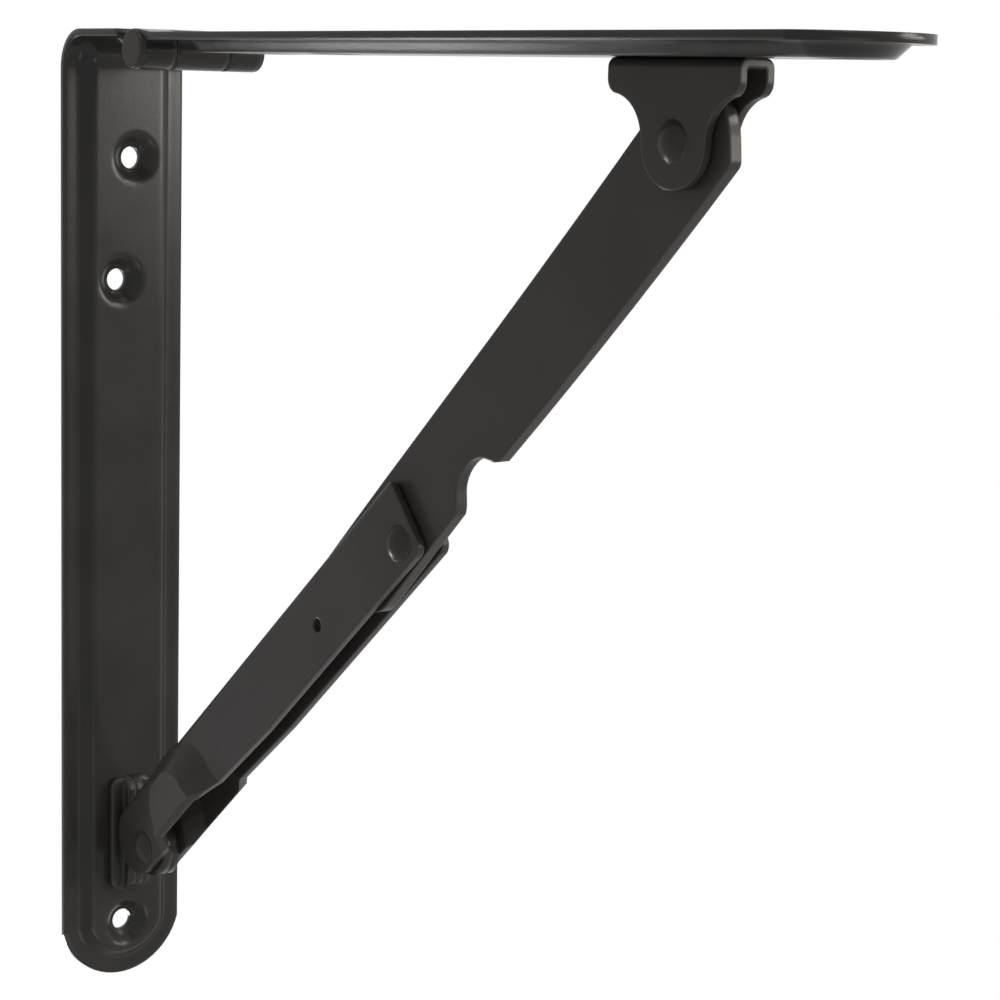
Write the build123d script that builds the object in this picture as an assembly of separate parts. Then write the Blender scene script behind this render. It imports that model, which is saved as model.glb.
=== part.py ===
"""Folding shelf bracket in pressed steel, modelled open (shelf leaf level, brace locked).

Frame: X out from the wall, Y along the hinge, +Z up. The back of the wall leaf lies in the plane
X = 0, the top of the shelf leaf lies in Z = 0, and Y = 0 is the middle of the bracket. Millimetres.
"""
from build123d import *
import math
import os

# ---------------------------------------------------------------- driving dimensions
REACH = 300.0            # wall plane to the tip of the shelf leaf
LEAF_WIDTH = 37.5        # both leaves, along the hinge
WALL_FOOT = 273.0        # shelf plane down to the foot of the wall leaf
TIP_RADIUS = 19.5        # round free end of a leaf
SHEET = 2.0              # leaves, clevis and lower link
BEND_RADIUS = 10.5       # outer radius where the wall leaf turns forward
PROUD = 0.9              # barrel and wall leaf stand this far above the shelf plane

PANEL_MARGIN = 4.6       # flat flange left around the raised panel
PANEL_RISE = 3.0         # how far the panel stands off the flange
PANEL_DRAFT = 46.0       # slope of the panel's side, degrees from upright
PANEL_SOFT = 1.2         # rounding where the panel's side meets its face and the flange
TOP_PANEL_END = 28.0     # the wall leaf's panel runs round the bend and ends here, from the wall
SHELF_PANEL_START = 56.0 # panel starts this far from the wall

BARREL_RADIUS = 5.3
PIN_RADIUS = 3.25
RUNNING_FIT = 0.05       # radial clearance of every turning joint
HINGE_X = 39.8
MIDDLE_KNUCKLE = 16.0    # length of the wall leaf's knuckle
KNUCKLE_GAP = 0.4
PIN_HEAD = 1.0           # thickness of the upset heads
SHOULDER_X = 31.5        # the wall leaf is full width up to here
SHELF_SHOULDER = 7.5     # shelf leaf's full width starts this far off the hinge axis

SCREW_RADIUS = 3.1
DISH_RADIUS = 6.9        # mouth of the dimple round a screw hole
WALL_HOLES = [(-34.1, 2.2), (-68.3, -2.2), (-256.8, 0.0)]     # (Z, Y)
SHELF_HOLES = [(76.0, 2.2), (110.2, -2.2), (284.1, 0.0)]      # (X, Y)

SHELF_PIVOT_X = 239.0
SHELF_PIVOT_DROP = 17.4  # pivot below the face of the shelf leaf's panel
WALL_PIVOT_Z = -229.0
WALL_PIVOT_REACH = 17.4  # pivot in front of the face of the wall leaf's panel
OVER_CENTRE = 0.30       # the two links together are this much longer than the pivot distance
FOLDED_KNEE_X = 20.2     # where the knee lies when the shelf leaf hangs down

CLEVIS_WIDTH = 9.5
EAR_RADIUS = 10.0        # round end of an ear, about its pivot
EAR_ROOT = 20.5          # half length of the clevis along the leaf
EAR_SHIFT = 0.7          # the arms sit this far towards the wall from the pivot
EAR_WAIST = 9.8          # hollow between the round end and an arm
EAR_CORNER = 3.2         # round corner of an arm
LUG_SHEET = 2.4          # each of the two lug plates
LUG_RADIUS = 8.5
LUG_ROOT = 16.5
LUG_ARM = 5.0
LUG_WAIST = 3.5
LUG_FOOT = 6.3           # reach of the spread feet from the middle

BAR_THICKNESS = 3.2      # upper link
BAR_END_RADIUS = 12.3    # round end past the shelf pivot
BAR_END = (1.6, -1.0)    # its centre past the pivot, and off the pivot line
BAR_END_TURN = 41.3      # the end is round down to this angle, then straight to the corner
BAR_END_CORNER = (6.9, -13.6)                   # that corner, from the shelf pivot
BAR_UPPER = [(100.0, 12.5), (59.0, 14.3), (16.0, 16.6), (-41.0, 19.1)]
BAR_LOWER = [(90.0, -11.6), (41.6, -8.4)]       # lower edge, slightly full, to the notch
NOTCH = [(40.2, -7.4), (38.4, -4.9), (35.2, -2.1), (31.5, -1.0), (27.8, -1.2), (24.6, -2.6),
         (22.3, -5.0), (19.8, -6.9)]
TAIL_FRONT = (-23.0, -5.3)                      # lower corner of the tail
TAIL_CORNERS = (3.0, 9.0)                       # rounding, upper and lower

CHANNEL_WIDTH = 9.4      # lower link, outside
CHANNEL_OPEN = 6.3       # pivot line to the open edge
CHANNEL_BACK = 14.75     # pivot line to the back of the web
FOOT_RADIUS = 10.1       # round foot of the channel
FOOT_CENTRE = (-2.0, 3.8)
CHANNEL_HEAD = 6.9       # past the knee
WEB_START = 56.0         # the web runs from here
WEB_END = 101.5          # to here; the tail swings out through the opening above
BULGE_RISE = 4.4         # pressed bulge that clears the clevis when folded
BULGE_ALONG = 25.5       # over the folded clevis pivot
BULGE_LONGER = 3.5       # drawn out this much towards the knee
BULGE_OFFSET = 0.3
BULGE_RADIUS = 13.3      # inside, level with the plate's inner face
BULGE_FLARE = 16.0       # half width there at the open edge
BULGE_TOP = 7.5          # inside radius at its top
BULGE_RUN_OUT = 4.0      # its foot runs out this much further towards the knee
OPEN_EDGE = [(13.0, 0.0), (17.0, 1.4), (46.0, 1.4), (80.0, 0.0)]   # drawn in by the pressing
BULGE_PULL = 3.0         # the drawing pulls the open edge in by this much at the top
JIG_HOLE_RADIUS = 1.85
JIG_HOLE = (119.0, 3.0)

RIVET_RADIUS = 3.0
HEAD_RADIUS = 4.7
HEAD_HEIGHT = 2.0
KNEE_HEAD_HEIGHT = 2.4
CLEVIS_RIVET_RADIUS = 1.5
CLEVIS_RIVET_OFFSET = 12.5

# ---------------------------------------------------------------- worked out from them
PANEL_FACE = SHEET + PANEL_RISE
HALF = LEAF_WIDTH / 2
HINGE_Z = PROUD - BARREL_RADIUS
SHELF_PIVOT = (SHELF_PIVOT_X, -PANEL_FACE - SHELF_PIVOT_DROP)
WALL_PIVOT = (PANEL_FACE + WALL_PIVOT_REACH, WALL_PIVOT_Z)
PLATE_IN = CHANNEL_WIDTH / 2 - SHEET
PLATE_OUT = CHANNEL_WIDTH / 2
EAR_IN = CLEVIS_WIDTH / 2 - SHEET
EAR_OUT = CLEVIS_WIDTH / 2


def link_lengths():
    """Lengths that lock the open brace over centre and lay both links flat when folded."""
    span = math.dist(SHELF_PIVOT, WALL_PIVOT) + OVER_CENTRE
    folded_x = HINGE_X + SHELF_PIVOT[1] - HINGE_Z
    folded_z = HINGE_Z - (SHELF_PIVOT[0] - HINGE_X)
    upper = span / 2
    for _ in range(60):
        knee_z = folded_z + math.sqrt(upper**2 - (FOLDED_KNEE_X - folded_x) ** 2)
        lower = math.dist((FOLDED_KNEE_X, knee_z), WALL_PIVOT)
        upper += (span - upper - lower) / 2
    return upper, lower


UPPER_LENGTH, LOWER_LENGTH = link_lengths()


def knee_point():
    """Knee of the open brace, on the outer side of the line between the end pivots."""
    (sx, sz), (wx, wz) = SHELF_PIVOT, WALL_PIVOT
    span = math.dist(SHELF_PIVOT, WALL_PIVOT)
    along = (LOWER_LENGTH**2 - UPPER_LENGTH**2 + span**2) / (2 * span)
    off = math.sqrt(LOWER_LENGTH**2 - along**2)
    ux, uz = (sx - wx) / span, (sz - wz) / span
    return wx + ux * along + uz * off, wz + uz * along - ux * off


KNEE = knee_point()


# ---------------------------------------------------------------- helpers
def side_plane(origin, towards):
    """Plane seen from the -Y side: its x runs from origin to towards, its normal is -Y."""
    dx, dz = towards[0] - origin[0], towards[1] - origin[1]
    return Plane(origin=(origin[0], 0, origin[1]), x_dir=(dx, 0, dz), z_dir=(0, -1, 0))


def plate(plane, sketch, y_low, y_high):
    """Extrude a sketch drawn on a side plane so that it fills y_low to y_high."""
    return extrude(plane.offset(-y_high) * sketch, y_high - y_low)


def pin_along_y(point, radius, y_low, y_high):
    start = Plane(origin=(point[0], y_low, point[1]), z_dir=(0, 1, 0))
    return extrude(start * Circle(radius), y_high - y_low)


def domed_head(point, y, outward, radius, height):
    """Domed rivet head on the face at y, rising in the direction outward (+1 or -1)."""
    sphere_radius = (radius**2 + height**2) / (2 * height)
    centre = y + outward * (height - sphere_radius)
    dome = Pos(point[0], centre, point[1]) * Sphere(sphere_radius)
    low, high = sorted((y, y + outward * height))
    return dome & pin_along_y(point, radius, low, high)


def leaf_outline(length, start, margin):
    """Leaf seen from its face: straight at start, round at length, set in by margin."""
    radius = TIP_RADIUS - margin
    half = HALF - margin
    tip = length - margin
    corner = tip - radius + math.sqrt(radius**2 - half**2)
    outline = Polyline((corner, half), (start, half), (start, -half), (corner, -half))
    outline += ThreePointArc((corner, -half), (tip, 0), (corner, half))
    return make_face(outline)


def panel_outline(length, start, margin):
    outline = leaf_outline(length, start, margin)
    return fillet(outline.vertices().sort_by(Axis.X)[:2], 6)


def pressed_leaf(length, start, holes):
    """Leaf lying flat: flange from z = 0 to SHEET, panel rising to PANEL_FACE."""
    slope = math.tan(math.radians(PANEL_DRAFT))
    set_in = SHEET * (math.sqrt(1 + slope**2) - slope)
    leaf = extrude(leaf_outline(length, 0, 0), SHEET)
    crown = extrude(panel_outline(length, start, PANEL_MARGIN), PANEL_RISE, taper=PANEL_DRAFT)
    crown = fillet(crown.faces().sort_by(Axis.Z)[-1].outer_wire().edges(), PANEL_SOFT)
    leaf += Pos(0, 0, SHEET) * crown
    hollow = panel_outline(length, start + set_in, PANEL_MARGIN + set_in)
    leaf -= extrude(hollow, PANEL_RISE, taper=PANEL_DRAFT)
    if start < 0:
        leaf &= Pos(length / 2, 0, 0) * Box(length, 2 * LEAF_WIDTH, 4 * PANEL_FACE)
    floor = DISH_RADIUS - PANEL_RISE * slope
    for along, across in holes:
        boss = Cone(floor + set_in, floor + set_in + PANEL_RISE * slope, PANEL_RISE)
        leaf += Pos(along, across, PANEL_RISE / 2) * boss
    for along, across in holes:
        dish = Cone(floor, DISH_RADIUS, PANEL_RISE)
        leaf -= Pos(along, across, SHEET + PANEL_RISE / 2) * dish
        leaf -= Pos(along, across, SHEET / 2) * Cylinder(SCREW_RADIUS, SHEET)
    mouths = leaf.edges().filter_by(GeomType.CIRCLE)
    mouths = mouths.filter_by(lambda e: abs(e.center().Z - PANEL_FACE) < 0.01)
    mouths = mouths.filter_by(lambda e: abs(e.radius - DISH_RADIUS) < 0.01)
    return fillet(mouths, PANEL_SOFT)


def knuckle(y_low, y_high, sheet_side):
    """Rolled knuckle whose sheet runs off from its top towards sheet_side (+1 is +X)."""
    ring = pin_along_y((HINGE_X, HINGE_Z), BARREL_RADIUS, y_low, y_high)
    ring -= pin_along_y((HINGE_X, HINGE_Z), PIN_RADIUS + RUNNING_FIT, y_low, y_high)
    seam = Box(5.6, y_high - y_low, 0.5)
    seam_x = HINGE_X + sheet_side * 3.4
    return ring - Pos(seam_x, (y_low + y_high) / 2, PROUD - SHEET - 0.3) * seam


# ---------------------------------------------------------------- leaves and hinge
def leaf_section():
    """The pressing cut across its length: x across the leaf, y off its back."""
    slope = math.tan(math.radians(PANEL_DRAFT))
    set_in = SHEET * (math.sqrt(1 + slope**2) - slope)
    base = HALF - PANEL_MARGIN
    run = PANEL_RISE * slope
    half = [(base - set_in - run, PANEL_RISE), (base - set_in, 0), (HALF, 0), (HALF, SHEET),
            (base, SHEET), (base - run, PANEL_FACE)]
    outline = half + [(-x, y) for x, y in reversed(half)]
    section = make_face(Polyline(*outline, close=True))
    crown = [v for v in section.vertices() if abs(v.Y - PANEL_FACE) < 0.01]
    return fillet(crown, PANEL_SOFT)


def make_wall_leaf():
    # the flat pressing, stood upright with its panel facing away from the wall
    turn_z = PROUD - BEND_RADIUS
    upright = Plane(origin=(0, 0, turn_z), x_dir=(0, 0, -1), z_dir=(1, 0, 0))
    holes = [(turn_z - z, y) for z, y in WALL_HOLES]
    leaf = upright * pressed_leaf(WALL_FOOT + turn_z, -20, holes)
    # the bend, then the flat that runs forward to the barrel
    across = Plane(origin=(0, 0, turn_z), x_dir=(0, -1, 0), z_dir=(0, 0, 1))
    axis = Axis((BEND_RADIUS, 0, turn_z), (0, 1, 0))
    leaf += revolve(across * leaf_section(), axis, 90)
    over = Plane(origin=(BEND_RADIUS, 0, PROUD), x_dir=(1, 0, 0), z_dir=(0, 0, -1))
    slope = math.tan(math.radians(PANEL_DRAFT))
    set_in = SHEET * (math.sqrt(1 + slope**2) - slope)
    flat = SHOULDER_X - BEND_RADIUS
    end = TOP_PANEL_END - BEND_RADIUS
    top = Pos(flat / 2, 0, SHEET / 2) * Box(flat, LEAF_WIDTH, SHEET)
    crown = rounded_end(end, HALF - PANEL_MARGIN)
    crown = extrude(crown, PANEL_RISE, taper=PANEL_DRAFT)
    crown = fillet(crown.faces().sort_by(Axis.Z)[-1].outer_wire().edges(), PANEL_SOFT)
    top += Pos(0, 0, SHEET) * crown
    hollow = rounded_end(end - set_in, HALF - PANEL_MARGIN - set_in)
    top -= extrude(hollow, PANEL_RISE, taper=PANEL_DRAFT)
    top &= Pos(flat / 2, 0, 0) * Box(flat, 2 * LEAF_WIDTH, 4 * PANEL_FACE)
    leaf += over * top
    tongue = HINGE_X - SHOULDER_X
    middle = Pos(SHOULDER_X + tongue / 2, 0, PROUD - SHEET / 2)
    leaf += middle * Box(tongue, MIDDLE_KNUCKLE, SHEET)
    leaf += knuckle(-MIDDLE_KNUCKLE / 2, MIDDLE_KNUCKLE / 2, -1)
    return leaf - pin_along_y((HINGE_X, HINGE_Z), PIN_RADIUS + RUNNING_FIT, -HALF, HALF)


def rounded_end(end, half):
    """Panel outline that runs off at the bend and ends with rounded corners at x = end."""
    outline = make_face(Polyline((-20, -half), (end, -half), (end, half), (-20, half), close=True))
    return fillet(outline.vertices().sort_by(Axis.X)[-2:], 6)


def make_shelf_leaf():
    # the flat pressing, turned over so that its panel faces down
    edge = HINGE_X + SHELF_SHOULDER
    turned = Plane(origin=(edge, 0, 0), x_dir=(1, 0, 0), z_dir=(0, 0, -1))
    holes = [(x - edge, -y) for x, y in SHELF_HOLES]
    leaf = turned * pressed_leaf(REACH - edge, SHELF_PANEL_START - edge, holes)
    inner = MIDDLE_KNUCKLE / 2 + KNUCKLE_GAP
    outer = HALF - PIN_HEAD / 2
    for side in (-1, 1):
        low, high = sorted((side * inner, side * outer))
        ramp = Polyline((0, PROUD), (SHELF_SHOULDER, 0), (SHELF_SHOULDER, -SHEET), (0, PROUD - SHEET),
                        close=True)
        leaf += plate(side_plane((HINGE_X, 0), (HINGE_X + 1, 0)), make_face(ramp), low, high)
        leaf += knuckle(low, high, 1)
    leaf -= pin_along_y((HINGE_X, HINGE_Z), PIN_RADIUS + RUNNING_FIT, -HALF, HALF)
    for side in (-1, 1):
        x = SHELF_PIVOT_X + side * CLEVIS_RIVET_OFFSET
        leaf -= Pos(x, 0, -PANEL_FACE / 2) * Cylinder(CLEVIS_RIVET_RADIUS, PANEL_FACE)
    return leaf


def make_hinge_pin():
    face = HALF - PIN_HEAD / 2
    pin = pin_along_y((HINGE_X, HINGE_Z), PIN_RADIUS, -face, face)
    for side in (-1, 1):
        low, high = sorted((side * face, side * (face + PIN_HEAD)))
        head = pin_along_y((HINGE_X, HINGE_Z), BARREL_RADIUS - 0.1, low, high)
        rim = head.edges().filter_by(GeomType.CIRCLE).sort_by(Axis.Y)
        pin += fillet(rim[0 if side < 0 else -1], 0.6)
    return pin


# ---------------------------------------------------------------- brackets that carry the brace
def t_outline(radius, waist, waist_start, arm, root, reach, corner):
    """T-shaped ear: pivot at the origin, root at y = reach, round end below the pivot."""
    shoulder = reach - arm
    rise = shoulder - waist_start
    run = waist - math.sqrt(max(waist**2 - rise**2, 0))
    turn = math.asin(min(rise / waist, 1)) / 2
    half_way = (radius + waist * (1 - math.cos(turn)), waist_start + waist * math.sin(turn))
    bend = corner * math.sqrt(0.5)
    edges = [ThreePointArc((-radius, 0), (0, -radius), (radius, 0))]
    for side in (-1, 1):
        if waist_start > 0:
            edges.append(Line((side * radius, 0), (side * radius, waist_start)))
        end = (side * (radius + run), shoulder)
        edges.append(ThreePointArc((side * radius, waist_start), (side * half_way[0], half_way[1]), end))
        edges.append(Line(end, (side * (root - corner), shoulder)))
        middle = (side * (root - corner + bend), shoulder + corner - bend)
        tip = (side * root, shoulder + corner)
        edges.append(ThreePointArc((side * (root - corner), shoulder), middle, tip))
        edges.append(Line(tip, (side * root, reach)))
    edges.append(Line((-root, reach), (root, reach)))
    return make_face(edges)


def arc_about(centre, start, end):
    """Shorter arc from start to end about centre."""
    middle = [(start[i] + end[i]) / 2 - centre[i] for i in (0, 1)]
    scale = math.dist(start, centre) / math.hypot(*middle)
    return ThreePointArc(start, (centre[0] + middle[0] * scale, centre[1] + middle[1] * scale), end)


def ear_outline():
    """Ear with its pivot at the origin: round end, hollow waist, arms with round corners."""
    edges = [ThreePointArc((-EAR_RADIUS, 0), (0, -EAR_RADIUS), (EAR_RADIUS, 0))]
    share = EAR_CORNER / (EAR_WAIST + EAR_CORNER)
    for side in (-1, 1):
        tip = side * EAR_ROOT - EAR_SHIFT
        waist = (side * (EAR_RADIUS + EAR_WAIST), 0)
        corner_x = tip - side * EAR_CORNER
        across = waist[0] - corner_x
        corner_y = math.sqrt((EAR_WAIST + EAR_CORNER) ** 2 - across**2)
        meet = (corner_x + across * share, corner_y * (1 - share))
        edges.append(arc_about(waist, (side * EAR_RADIUS, 0), meet))
        edges.append(arc_about((corner_x, corner_y), meet, (tip, corner_y)))
        edges.append(Line((tip, corner_y), (tip, SHELF_PIVOT_DROP)))
    edges.append(Line((-EAR_ROOT - EAR_SHIFT, SHELF_PIVOT_DROP), (EAR_ROOT - EAR_SHIFT, SHELF_PIVOT_DROP)))
    return make_face(edges)


def make_shelf_clevis():
    # U-shaped strip with its base against the panel, trimmed to the shape of the ears
    depth = SHELF_PIVOT_DROP + EAR_RADIUS + 1
    tall = Pos(0, -depth / 2) * RectangleRounded(CLEVIS_WIDTH, depth, 2.3)
    tall += Pos(0, -depth * 3 / 4) * Rectangle(CLEVIS_WIDTH, depth / 2)
    inner = Pos(0, -SHEET - depth / 2) * RectangleRounded(CLEVIS_WIDTH - 2 * SHEET, depth, 0.5)
    start = SHELF_PIVOT_X - EAR_ROOT - EAR_SHIFT
    end = Plane(origin=(start, 0, -PANEL_FACE), x_dir=(0, 1, 0), z_dir=(1, 0, 0))
    strip = extrude(end * (tall - inner), 2 * EAR_ROOT)
    side = side_plane(SHELF_PIVOT, (SHELF_PIVOT_X + 1, SHELF_PIVOT[1]))
    clevis = strip & plate(side, ear_outline(), -CLEVIS_WIDTH, CLEVIS_WIDTH)
    clevis -= pin_along_y(SHELF_PIVOT, RIVET_RADIUS, -CLEVIS_WIDTH, CLEVIS_WIDTH)
    for step in (-1, 1):
        x = SHELF_PIVOT_X + step * CLEVIS_RIVET_OFFSET
        clevis -= Pos(x, 0, -PANEL_FACE) * Cylinder(CLEVIS_RIVET_RADIUS, 3 * SHEET)
    return clevis


def make_clevis_rivet(side):
    """Holds the clevis: low head inside the U, tail spread in the hollow of the panel."""
    x = SHELF_PIVOT_X + side * CLEVIS_RIVET_OFFSET
    top = -PANEL_RISE
    bottom = -PANEL_FACE - SHEET
    rivet = Pos(x, 0, (top + bottom) / 2) * Cylinder(CLEVIS_RIVET_RADIUS, top - bottom)
    rivet += Pos(x, 0, bottom - 0.6) * Cylinder(2.2, 1.2)
    return rivet + Pos(x, 0, top + 0.6) * Cylinder(3.2, 1.2)


def make_wall_lug(side):
    """One lug plate with its foot spread to the outside; side -1 is the -Y one."""
    upright = Plane(origin=(WALL_PIVOT[0], 0, WALL_PIVOT_Z), x_dir=(0, 0, 1), z_dir=(0, -1, 0))
    shape = t_outline(LUG_RADIUS, LUG_WAIST, WALL_PIVOT_REACH - LUG_ARM - LUG_WAIST, LUG_ARM,
                      LUG_ROOT, WALL_PIVOT_REACH, 3.5)
    low, high = sorted((0, side * LUG_SHEET))
    lug = plate(upright, shape, low, high)
    foot = Box(LUG_SHEET, LUG_FOOT - LUG_SHEET + 0.01, 2 * LUG_ROOT)
    y = side * (LUG_FOOT + LUG_SHEET) / 2
    foot = Pos(PANEL_FACE + LUG_SHEET / 2, y, WALL_PIVOT_Z) * foot
    corners = foot.edges().filter_by(Axis.X)
    foot = fillet(corners.sort_by(Axis.Y)[-2:] if side > 0 else corners.sort_by(Axis.Y)[:2], 2.5)
    lug += foot
    return lug - pin_along_y(WALL_PIVOT, RIVET_RADIUS, -LUG_SHEET, LUG_SHEET)


# ---------------------------------------------------------------- brace
def make_upper_link():
    plane = side_plane(KNEE, SHELF_PIVOT)
    end = UPPER_LENGTH + BAR_END[0]
    centre = (end, BAR_END[1])
    high = (end, centre[1] + BAR_END_RADIUS)
    tip = (end + BAR_END_RADIUS, centre[1])
    turn = math.radians(BAR_END_TURN)
    last = (end + BAR_END_RADIUS * math.cos(turn), centre[1] - BAR_END_RADIUS * math.sin(turn))
    corner = (UPPER_LENGTH + BAR_END_CORNER[0], BAR_END_CORNER[1])
    back = BAR_UPPER[-1]
    edges = [ThreePointArc(high, tip, last), Line(last, corner)]
    edges.append(ThreePointArc(corner, BAR_LOWER[0], BAR_LOWER[1]))
    edges += [Line(BAR_LOWER[1], NOTCH[0]), Spline(*NOTCH)]
    edges += [Line(NOTCH[-1], TAIL_FRONT), Line(TAIL_FRONT, back), Spline(high, *BAR_UPPER)]
    shape = make_face(edges)
    rounding = [(back, TAIL_CORNERS[0]), (TAIL_FRONT, TAIL_CORNERS[1]), (corner, 2.5)]
    rounding += [(BAR_LOWER[1], 1.0), (NOTCH[-1], 1.5)]
    for corner, radius in rounding:
        shape = fillet(shape.vertices().sort_by_distance(corner)[:1], radius)
    bar = plate(plane, shape, -BAR_THICKNESS / 2, BAR_THICKNESS / 2)
    bar -= pin_along_y(KNEE, RIVET_RADIUS, -BAR_THICKNESS, BAR_THICKNESS)
    return bar - pin_along_y(SHELF_PIVOT, RIVET_RADIUS + RUNNING_FIT, -BAR_THICKNESS, BAR_THICKNESS)


def bulge(plane, y_start, grow, side, pull=None):
    """Tapered dome, round towards the web and flared to the open edge of the channel."""
    faces = []
    for level in (0, 1):
        narrower = level * (BULGE_RADIUS - BULGE_TOP)
        radius = BULGE_RADIUS + grow - narrower
        flare = BULGE_FLARE + grow - narrower
        depth = CHANNEL_OPEN + BULGE_OFFSET
        reach = depth + 3 if pull is None else depth - level * pull
        spread = radius + (flare - radius) * reach / depth
        ends = BULGE_LONGER + (1 - level) * BULGE_RUN_OUT
        corner = radius * math.sqrt(0.5)
        edges = [
            Polyline((-radius, 0), (-spread, -reach), (ends + spread, -reach), (ends + radius, 0)),
            ThreePointArc((ends + radius, 0), (ends + corner, corner), (ends, radius)),
            Line((ends, radius), (0, radius)),
            ThreePointArc((0, radius), (-corner, corner), (-radius, 0)),
        ]
        y = side * (y_start + level * BULGE_RISE)
        faces.append(plane.offset(-y) * Pos(BULGE_ALONG, BULGE_OFFSET) * make_face(edges))
    return loft(faces, ruled=True)


def make_lower_link():
    plane = side_plane(WALL_PIVOT, KNEE)
    width = CHANNEL_OPEN + CHANNEL_BACK
    middle = (CHANNEL_BACK - CHANNEL_OPEN) / 2
    head = LOWER_LENGTH + CHANNEL_HEAD
    foot, rise = FOOT_CENTRE
    edge = [(along, rise - CHANNEL_OPEN) for along, rise in OPEN_EDGE]
    outline = Polyline((foot, -CHANNEL_OPEN), *edge, (head, -CHANNEL_OPEN), (head, CHANNEL_BACK),
                       (26, CHANNEL_BACK), (foot, rise + FOOT_RADIUS))
    outline += ThreePointArc((foot, rise + FOOT_RADIUS), (foot - FOOT_RADIUS, rise),
                             (foot, -CHANNEL_OPEN))
    shape = fillet(make_face(outline).vertices().sort_by(Axis.X)[-2:], 3)
    # channel section, its web along the upper side, trimmed to the side outline
    tall = Pos(0, middle) * RectangleRounded(CHANNEL_WIDTH, width, 2.2)
    tall += Pos(0, middle - width / 4) * Rectangle(CHANNEL_WIDTH, width / 2)
    inner = Pos(0, middle - SHEET) * RectangleRounded(CHANNEL_WIDTH - 2 * SHEET, width, 0.4)
    inner += Pos(0, middle - SHEET - width / 4) * Rectangle(CHANNEL_WIDTH - 2 * SHEET, width / 2)
    section = Plane(origin=plane.from_local_coords((-20, 0, 0)), x_dir=(0, 1, 0),
                    z_dir=plane.x_dir)
    up = 1 if section.y_dir.dot(plane.y_dir) > 0 else -1
    profile = tall - inner
    if up < 0:
        profile = mirror(profile, Plane.XZ)
    strip = extrude(section * profile, head + 40)
    link = strip & plate(plane, shape, -CHANNEL_WIDTH, CHANNEL_WIDTH)
    # bulges over the clevis
    keep = plate(plane, shape, -3 * CHANNEL_WIDTH, 3 * CHANNEL_WIDTH)
    for side in (-1, 1):
        link += bulge(plane, PLATE_OUT, 0.83, side, BULGE_PULL) & keep
    for side in (-1, 1):
        link -= bulge(plane, PLATE_IN, 0, side)
    # no web below and above the stretch between WEB_START and WEB_END
    gap = 2 * PLATE_IN
    below = Pos((WEB_START - 20) / 2, CHANNEL_BACK) * Rectangle(WEB_START + 20, 8)
    above = Pos((WEB_END + head + 5) / 2, CHANNEL_BACK) * Rectangle(head + 5 - WEB_END, 8)
    link -= plate(plane, below, -gap / 2, gap / 2)
    link -= plate(plane, above, -gap / 2, gap / 2)
    jig = Pos(*JIG_HOLE) * Circle(JIG_HOLE_RADIUS)
    link -= plate(plane, jig, -CHANNEL_WIDTH, CHANNEL_WIDTH)
    link -= pin_along_y(KNEE, RIVET_RADIUS, -CHANNEL_WIDTH, CHANNEL_WIDTH)
    link -= pin_along_y(WALL_PIVOT, RIVET_RADIUS + RUNNING_FIT, -CHANNEL_WIDTH, CHANNEL_WIDTH)
    return link


# ---------------------------------------------------------------- rivets
def make_pivot_rivet(point, face, height):
    rivet = pin_along_y(point, RIVET_RADIUS, -face, face)
    for side in (-1, 1):
        rivet += domed_head(point, side * face, side, HEAD_RADIUS, height)
    return rivet


def make_knee_rivet_end(side):
    low, high = sorted((side * PLATE_IN, side * PLATE_OUT))
    end = pin_along_y(KNEE, RIVET_RADIUS, low, high)
    return end + domed_head(KNEE, side * PLATE_OUT, side, HEAD_RADIUS, KNEE_HEAD_HEIGHT)


def make_knee_rivet_shank():
    return pin_along_y(KNEE, RIVET_RADIUS, -PLATE_IN + 0.3, PLATE_IN - 0.3)


# ---------------------------------------------------------------- export
os.makedirs("parts", exist_ok=True)
pieces = {
    "wall_leaf": make_wall_leaf(),
    "wall_lug_left": make_wall_lug(-1),
    "wall_lug_right": make_wall_lug(1),
    "wall_pivot_rivet": make_pivot_rivet(WALL_PIVOT, PLATE_OUT + 0.1, HEAD_HEIGHT),
    "shelf_leaf": make_shelf_leaf(),
    "hinge_pin": make_hinge_pin(),
    "shelf_clevis": make_shelf_clevis(),
    "clevis_rivet_rear": make_clevis_rivet(-1),
    "clevis_rivet_front": make_clevis_rivet(1),
    "shelf_pivot_rivet": make_pivot_rivet(SHELF_PIVOT, EAR_OUT, HEAD_HEIGHT),
    "upper_link": make_upper_link(),
    "knee_rivet_shank": make_knee_rivet_shank(),
    "lower_link": make_lower_link(),
    "knee_rivet_left": make_knee_rivet_end(-1),
    "knee_rivet_right": make_knee_rivet_end(1),
}
for name, shape in pieces.items():
    export_step(shape, f"parts/{name}.step")
    print(name, round(shape.volume, 1), len(shape.solids()), shape.is_valid)
print("upper", round(UPPER_LENGTH, 3), "lower", round(LOWER_LENGTH, 3), "knee", KNEE)
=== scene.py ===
# %% [markdown]
# # Folding shelf bracket
#
# A bracket of pressed steel, painted black. The wall leaf hangs down the wall, the shelf leaf stands
# out level from the hinge, and a brace of two links with a knee holds it up. A pull at the knee
# folds the brace and lets the shelf leaf swing down in front of the wall leaf.
#
# Every solid comes from the CAD frame, in metres and already in place, so this lesson is about
# finish and light: what makes plain sheet metal look like enamelled steel.

# %% Load the frame
import math

import bpy
from mathutils import Matrix, Vector

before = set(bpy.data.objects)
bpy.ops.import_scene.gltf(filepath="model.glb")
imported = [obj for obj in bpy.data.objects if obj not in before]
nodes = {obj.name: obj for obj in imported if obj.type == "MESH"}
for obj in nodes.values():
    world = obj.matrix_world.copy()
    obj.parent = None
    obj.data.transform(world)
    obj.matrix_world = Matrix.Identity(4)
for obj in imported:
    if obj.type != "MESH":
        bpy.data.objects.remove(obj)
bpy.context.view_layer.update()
MM = 0.001

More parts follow.
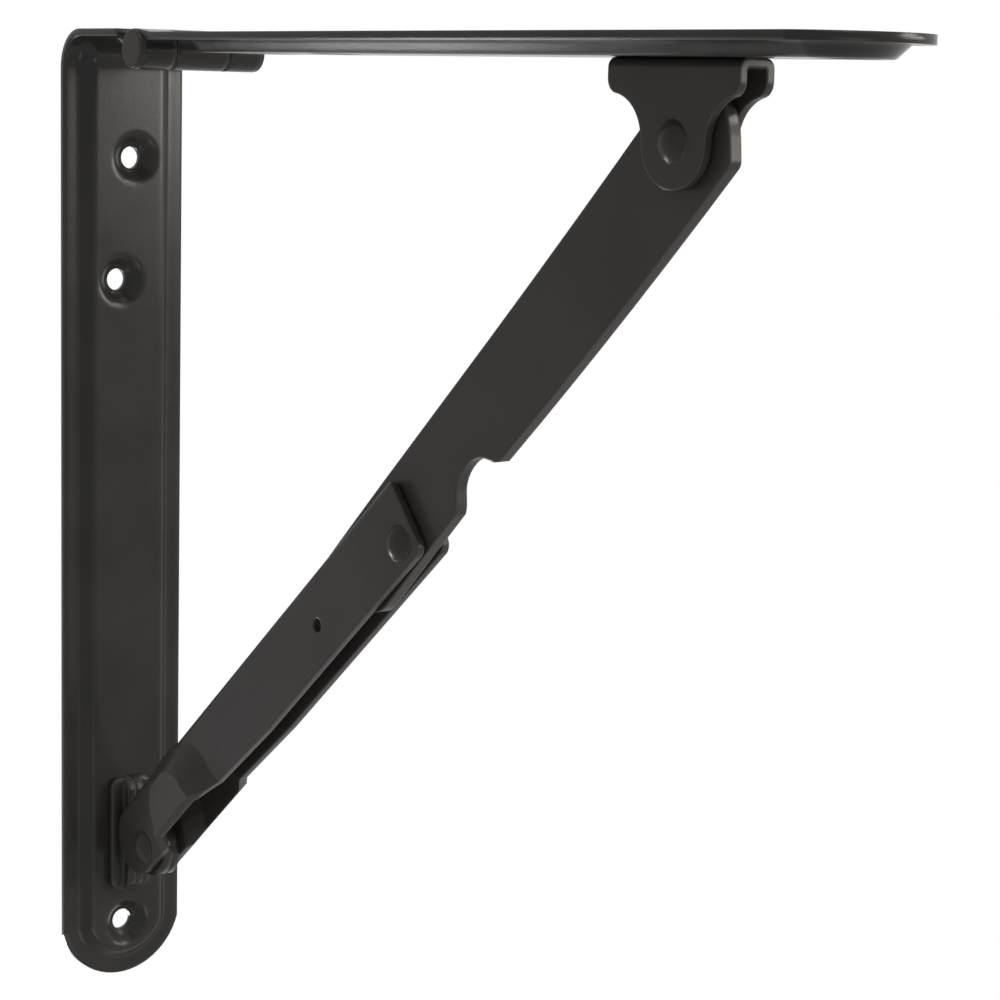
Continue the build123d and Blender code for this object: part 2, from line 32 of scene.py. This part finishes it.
# %% [markdown]
# ## Colours
#
# Blender's shaders work in linear light, while a hex colour is written for the screen. One function
# turns the second into the first, so every colour below can be read as it looks.


# %% Hex to linear
def colour(hex_code):
    """'#282625' as a linear red, green, blue, alpha tuple."""
    values = [int(hex_code[i:i + 2], 16) / 255 for i in (1, 3, 5)]
    linear = [v / 12.92 if v <= 0.04045 else ((v + 0.055) / 1.055) ** 2.4 for v in values]
    return (*linear, 1.0)


print("black enamel, linear:", [round(v, 4) for v in colour("#282625")[:3]])

# %% [markdown]
# ## Two helpers for nodes
#
# A material is a tree of nodes, and so is the world. A tree could be drawn by hand in the shader
# editor, but written down it can be read, measured and used again. One helper empties a tree. The
# other adds a node: keyword settings are properties of the node itself, such as its operation, and
# `inputs` holds for each socket either a value or the output of an earlier node.


# %% Empty a tree, add a node
def empty_tree(owner):
    owner.use_nodes = True
    owner.node_tree.nodes.clear()
    return owner.node_tree


def add(tree, kind, inputs=None, **settings):
    node = tree.nodes.new(kind)
    for name, value in settings.items():
        setattr(node, name, value)
    for name, value in (inputs or {}).items():
        if isinstance(value, bpy.types.NodeSocket):
            tree.links.new(value, node.inputs[name])
        else:
            node.inputs[name].default_value = value
    return node


print("helpers:", empty_tree.__name__, add.__name__)

# %% [markdown]
# ## Black enamel
#
# The real finish is a stoved black enamel, dipped or sprayed on pressed mild steel and baked. It is
# nearly black, a little warm, and between satin and gloss. Five things tell the eye that it isn't
# plastic:
#
# - the colour drifts a little from place to place, over some 30 mm;
# - the gloss changes with the thickness of the coat, over some 8 mm;
# - the skin has a fine orange peel, about 1.2 mm from dimple to dimple, and the sheet below it
#   keeps a slow wave from the press, about 28 mm long, which bends every reflection;
# - every crease is rounded, by some 2 mm on the leaves, where the sheet was drawn over the edge of
#   the die, and less on the links, which are cut and folded;
# - the coat draws back from sharp edges while it bakes, so it is thin there; the lighter edges are
#   partly that thin coat and partly a painted highlight.
#
# An image could be wrapped round each piece, but a pattern worked out from the place of each point
# has no seams and keeps its size on every piece. A noise varies about once in one over its scale, so
# its scale is one over the real size.

# %% Sizes of the patterns
COLOUR_DRIFT = 30 * MM
GLOSS_DRIFT = 8 * MM
PEEL_SIZE = 1.2 * MM
PEEL_DEPTH = 0.012 * MM
SHEET_WAVE = 28 * MM
WAVE_DEPTH = 0.10 * MM
EDGE_RADIUS = 0.45 * MM
print("orange peel: noise scale", round(1 / PEEL_SIZE), "per metre; sheet wave:", round(1 / SHEET_WAVE))

# %% [markdown]
# ## Colour of the coat
#
# A slow noise mixes a darker and a lighter shade of one black. Noise lies mostly near its middle
# value, so only that middle is stretched over the two shades.
#
# The thin coat at the edges, shown by a lighter colour that is also a painted highlight, needs to know
# where an edge is. Edges could be painted by hand, piece by piece. The Bevel node finds them all: it
# gives the normal that a rounded edge would have, and where that leaves the true normal there is an
# edge.

# %% Drifting shade, and thin coat with painted highlight at the edges
NOISE_LOW, NOISE_HIGH = 0.35, 0.65
EDGE_STARTS, EDGE_FULL = 0.995, 0.82  # agreement of the two normals, 1 on flat ground
# the share below is of the lighter edge colour, partly thin coat and partly painted highlight
EDGE_HIGHLIGHT_SHARE = 0.7                      # share of the thin coat's colour where the edge is sharpest
BEVEL_SAMPLES = 8


def drifting_shade(tree, place, shades):
    drift = add(tree, "ShaderNodeTexNoise", {"Vector": place, "Scale": 1 / COLOUR_DRIFT, "Detail": 3.0})
    tone = add(tree, "ShaderNodeMapRange",
               {"Value": drift.outputs["Fac"], "From Min": NOISE_LOW, "From Max": NOISE_HIGH})
    body = add(tree, "ShaderNodeMix",
               {"Factor": tone.outputs["Result"], "A": colour(shades[0]), "B": colour(shades[1])},
               data_type="RGBA")
    return body.outputs["Result"]


# Lighter colour on every edge: partly the thin coat, partly a painted highlight.
def thin_coat_and_highlight_at_edges(tree, shade, edge_coat_and_highlight):
    close = add(tree, "ShaderNodeBevel", {"Radius": EDGE_RADIUS}, samples=BEVEL_SAMPLES)
    surface = add(tree, "ShaderNodeNewGeometry")
    agreement = add(tree, "ShaderNodeVectorMath",
                    {0: close.outputs["Normal"], 1: surface.outputs["Normal"]},
                    operation="DOT_PRODUCT")
    edge_highlight_mask = add(tree, "ShaderNodeMapRange",
                {"Value": agreement.outputs["Value"], "From Min": EDGE_STARTS,
                 "From Max": EDGE_FULL, "To Max": EDGE_HIGHLIGHT_SHARE})
    coat = add(tree, "ShaderNodeMix",
               {"Factor": edge_highlight_mask.outputs["Result"], "A": shade, "B": colour(edge_coat_and_highlight)}, data_type="RGBA")
    return coat.outputs["Result"]


print("thin coat starts at", round(math.degrees(math.acos(EDGE_STARTS)), 1), "degrees from flat")

# %% [markdown]
# ## Gloss and skin
#
# A baked coat is glossier where it ran thick. That is a second noise, finer than the colour's, on
# the roughness.
#
# The skin is built up as on the real piece. First the press: a wide Bevel rounds the creases, and a
# slow noise waves the sheet. Then the paint: a fine noise is the orange peel. Each is a normal that
# the next one starts from. All this could be modelled in the mesh, but dimples of a few hundredths
# of a millimetre would need millions of faces, and only the reflections show them.

# %% Gloss and skin of the coat
GLOSS_SPREAD = 0.12


def coat_roughness(tree, place, gloss):
    coat = add(tree, "ShaderNodeTexNoise", {"Vector": place, "Scale": 1 / GLOSS_DRIFT, "Detail": 4.0})
    rough = add(tree, "ShaderNodeMapRange",
                {"Value": coat.outputs["Fac"], "To Min": gloss, "To Max": gloss + GLOSS_SPREAD})
    return rough.outputs["Result"]


def coat_skin(tree, place, wave, crease):
    rounded = add(tree, "ShaderNodeBevel", {"Radius": crease}, samples=BEVEL_SAMPLES)
    sheet = add(tree, "ShaderNodeTexNoise", {"Vector": place, "Scale": 1 / SHEET_WAVE, "Detail": 0.0})
    wavy = add(tree, "ShaderNodeBump",
               {"Height": sheet.outputs["Fac"], "Strength": wave, "Distance": WAVE_DEPTH,
                "Normal": rounded.outputs["Normal"]})
    peel = add(tree, "ShaderNodeTexNoise", {"Vector": place, "Scale": 1 / PEEL_SIZE, "Detail": 1.0})
    skin = add(tree, "ShaderNodeBump",
               {"Height": peel.outputs["Fac"], "Strength": 1.0, "Distance": PEEL_DEPTH,
                "Normal": wavy.outputs["Normal"]})
    return skin.outputs["Normal"]


print("slope of the orange peel, about", round(PEEL_DEPTH / PEEL_SIZE, 3))

# %% [markdown]
# ## Three enamels
#
# One function joins the parts to a Principled shader, and each kind of piece calls it with its own
# numbers. The enamel is no metal, whatever lies below it. The specular level is well below the usual
# 0.5: the studio is white all round, and a stronger mirror would veil the black with grey. The
# leaves are the glossiest, and the strip of the brace is a little duller.


# %% Make the enamels
def enamel(name, shades, edge_coat_and_highlight, gloss, specular, wave, crease):
    """Black enamel; shades are its darker and lighter tone, the edge colour is thin coat and painted
    highlight, gloss its lowest roughness.
    """
    material = bpy.data.materials.new(name)
    tree = empty_tree(material)
    place = add(tree, "ShaderNodeTexCoord").outputs["Object"]
    shade = drifting_shade(tree, place, shades)
    shader = add(tree, "ShaderNodeBsdfPrincipled",
                 {"Base Color": thin_coat_and_highlight_at_edges(tree, shade, edge_coat_and_highlight),
                  "Roughness": coat_roughness(tree, place, gloss),
                  "Specular IOR Level": specular,
                  "Normal": coat_skin(tree, place, wave, crease)})
    add(tree, "ShaderNodeOutputMaterial", {"Surface": shader.outputs["BSDF"]})
    print("material", name, "with", len(tree.nodes), "nodes")
    return material


# The third colour of each enamel is its lighter edge colour: thin coat and painted highlight.
leaf_enamel = enamel("black_enamel_on_pressed_leaf", ("#1C1B1A", "#21201F"), "#444140",
                     gloss=0.15, specular=0.12, wave=1.0, crease=2.2 * MM)
brace_enamel = enamel("black_enamel_on_brace", ("#282625", "#2D2A28"), "#484442",
                      gloss=0.24, specular=0.08, wave=0.6, crease=0.9 * MM)
rivet_enamel = enamel("black_enamel_on_rivet", ("#262423", "#2B2827"), "#504B47",
                      gloss=0.22, specular=0.07, wave=0.2, crease=0.5 * MM)

# %% [markdown]
# ## Which piece wears which coat
#
# The leaves are the large pressings, and show the most gloss and wave. The lug plates are welded to
# the wall leaf before it is coated, so they share its enamel. The links and the clevis are cut from
# flatter, stiffer strip. Rivets and the hinge pin are turned, so they hardly wave at all. The names
# of the nodes tell which is which, so a loop can dress them.

# %% Dress the nodes
for name, node in nodes.items():
    if "rivet" in name or name == "hinge_pin":
        finish = rivet_enamel
    elif name.endswith("leaf") or "lug" in name:
        finish = leaf_enamel
    else:
        finish = brace_enamel
    for slot in node.material_slots:
        slot.material = finish
    print(name, "->", finish.name)

# %% [markdown]
# ## Floor and backdrop
#
# The bracket hangs free on plain white. A backdrop could be a bent sheet, as in a studio, with soft
# light on it. Here a wide white floor lies well below and the world is white behind, so there is no
# corner and no horizon. Light Path tells the rays apart: what the camera and the reflections see is
# white at a strength of 1, and the soft light that reaches the paint is a little lower.

# %% White for the rays that see it
WORLD_LIGHT = 0.95  # strength of the soft light from all round
FLOOR_SIZE = 12     # metres
FLOOR_BELOW = 0.9   # metres below the shelf


def white_for_rays(tree):
    """Strength 1 for camera, glossy and transmission rays, and WORLD_LIGHT for the others."""
    rays = add(tree, "ShaderNodeLightPath").outputs
    seen = add(tree, "ShaderNodeMath", {0: rays["Is Camera Ray"], 1: rays["Is Glossy Ray"]},
               operation="MAXIMUM")
    seen = add(tree, "ShaderNodeMath", {0: seen.outputs["Value"], 1: rays["Is Transmission Ray"]},
               operation="MAXIMUM")
    white = add(tree, "ShaderNodeMapRange", {"Value": seen.outputs["Value"], "To Min": WORLD_LIGHT})
    return white.outputs["Result"]


backdrop = bpy.data.materials.new("matt_white_floor")
tree = empty_tree(backdrop)
glow = add(tree, "ShaderNodeEmission", {"Strength": white_for_rays(tree)})
add(tree, "ShaderNodeOutputMaterial", {"Surface": glow.outputs["Emission"]})

bpy.ops.object.select_all(action="DESELECT")
bpy.ops.mesh.primitive_plane_add(size=FLOOR_SIZE, location=(0, 0, -FLOOR_BELOW))
floor = bpy.context.object
floor.name = "floor"
floor.data.materials.append(backdrop)

world = bpy.data.worlds.new("white_studio")
bpy.context.scene.world = world
tree = empty_tree(world)
air = add(tree, "ShaderNodeBackground", {"Color": (1, 1, 1, 1), "Strength": white_for_rays(tree)})
add(tree, "ShaderNodeOutputWorld", {"Surface": air.outputs["Background"]})
print("white floor at", round(floor.location.z, 2), "m")

# %% [markdown]
# ## Camera
#
# The camera stands at the height of the shelf, in front of it and to its left, and looks a little
# down along the brace. Its lens is long, so the far lines hardly draw together. It could be aimed by
# a constraint at an empty, but three turns say the same and can be read: it starts out looking
# straight down, is rolled about its own line of sight, tipped up until it looks a little below
# level towards +Y, and turned from there towards -X.

# %% Place the camera
CAMERA_AT = Vector((0.63976, -0.35923, -0.01283))
CAMERA_YAW, CAMERA_DOWN, CAMERA_ROLL = (math.radians(v) for v in (52.106, 9.10, 1.505))
LENS, SENSOR = 91.97, 36.0  # millimetres

bpy.ops.object.camera_add()
camera = bpy.context.object
camera.name = "camera"
camera.matrix_world = (Matrix.Translation(CAMERA_AT)
                       @ Matrix.Rotation(CAMERA_YAW, 4, "Z")
                       @ Matrix.Rotation(math.pi / 2 - CAMERA_DOWN, 4, "X")
                       @ Matrix.Rotation(CAMERA_ROLL, 4, "Z"))
camera.data.sensor_width = SENSOR
camera.data.lens = LENS
camera.data.clip_start = 0.01
bpy.context.scene.camera = camera
print("view across:", round(math.degrees(2 * math.atan(SENSOR / 2 / LENS)), 1), "degrees")

# %% [markdown]
# ## Lamps
#
# Black gloss is lit by what it mirrors, so a plain sun would show only as dots. The lamps are white
# panels, as in a product studio, each placed by the direction in which it is seen from the bracket:
# azimuth from +X towards +Y, then elevation.
#
# - A wide low one on the right is mirrored in the top of the wall leaf and in every face that looks
#   along the shelf: the end of the upper link, the notch, the tip of the shelf leaf.
# - A strip above it is mirrored in the lips of the screw dishes and in the round of the lugs.
# - A high one lights the upper edges and the barrel.
# - A small one from the lower left draws the bright line along the shelf leaf's panel.
# - A weak one below shines into the open channel of the lower link, as a pale bench would.
# - A large weak one beside the camera fills the faces of the links.

# %% Hang the panels
BRACE_MIDDLE = Vector((0.12, 0, -0.1))
SHELF_MIDDLE = Vector((0.15, 0, 0))
WHITE, WARM_WHITE = "#FFFFFF", "#FFFAF4"


def lamp(name, azimuth, elevation, distance, size, radiance, target=BRACE_MIDDLE, white=WHITE):
    """Rectangular panel of that radiance and white, seen from target in that direction."""
    a, e = math.radians(azimuth), math.radians(elevation)
    direction = Vector((math.cos(e) * math.cos(a), math.cos(e) * math.sin(a), math.sin(e)))
    bpy.ops.object.light_add(type="AREA", location=target + direction * distance)
    panel = bpy.context.object
    panel.name = name
    panel.rotation_mode = "QUATERNION"
    panel.rotation_quaternion = direction.to_track_quat("Z", "Y")
    light = panel.data
    light.shape = "RECTANGLE"
    light.size, light.size_y = size
    light.energy = radiance * math.pi * size[0] * size[1]
    light.color = colour(white)[:3]
    print("lamp", name, round(light.energy, 2), "W")


lamp("right_panel", 48, 7.5, 1.3, (0.72, 0.26), 25, white=WARM_WHITE)
lamp("high_right_panel", 46, 31, 1.2, (0.4, 0.08), 85, white=WARM_WHITE)
lamp("top_panel", 20, 78, 1.1, (0.5, 0.5), 9)
lamp("low_left_panel", 186, -38, 0.9, (0.30, 0.12), 24, target=SHELF_MIDDLE)
lamp("under_panel", -15, -45, 1.0, (0.5, 0.5), 5)
lamp("fill_panel", -75, 25, 1.4, (0.9, 0.9), 0.15)

# %% [markdown]
# ## Colour management
#
# The Standard view keeps white white and leaves the enamel as dark as it is. A filmic view would
# grey both.

# %% View
bpy.context.scene.view_settings.view_transform = "Standard"
